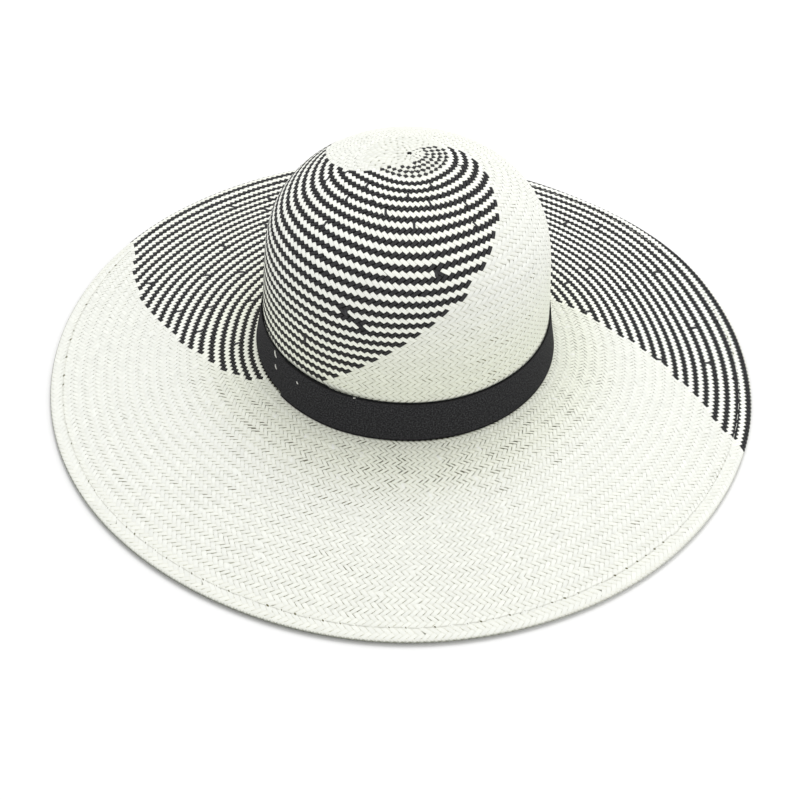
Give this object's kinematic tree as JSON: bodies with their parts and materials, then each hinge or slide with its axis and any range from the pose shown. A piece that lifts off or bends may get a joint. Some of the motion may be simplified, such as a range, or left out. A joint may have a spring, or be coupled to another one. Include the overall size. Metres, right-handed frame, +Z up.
{
  "type": "floppy straw hat",
  "caption": "Wide-brimmed woven straw sun hat with a round open crown, a gently falling soft brim with a turned and stitched edge, and a flat dark band.",
  "frame": {"origin": "on the floor below the middle of the rim: the bottom centre of the hat's box", "axes": "+Z up along the crown; the wearer looks along -Y; +X is the wearer's left"},
  "size_m": [0.4443, 0.445, 0.1675],
  "materials": {
    "straw_white": "matt woven paper straw, off-white",
    "straw_black": "matt woven paper straw, black strands of the striped part",
    "straw_hem": "matt woven paper straw, turned under and stitched",
    "band_cloth": "matt dark ribbed ribbon"
  },
  "bodies": {
    "root": {"crown": "straw_white", "brim": "straw_white", "brim_hem": "straw_hem", "band": "band_cloth"}
  },
  "joints": []
}
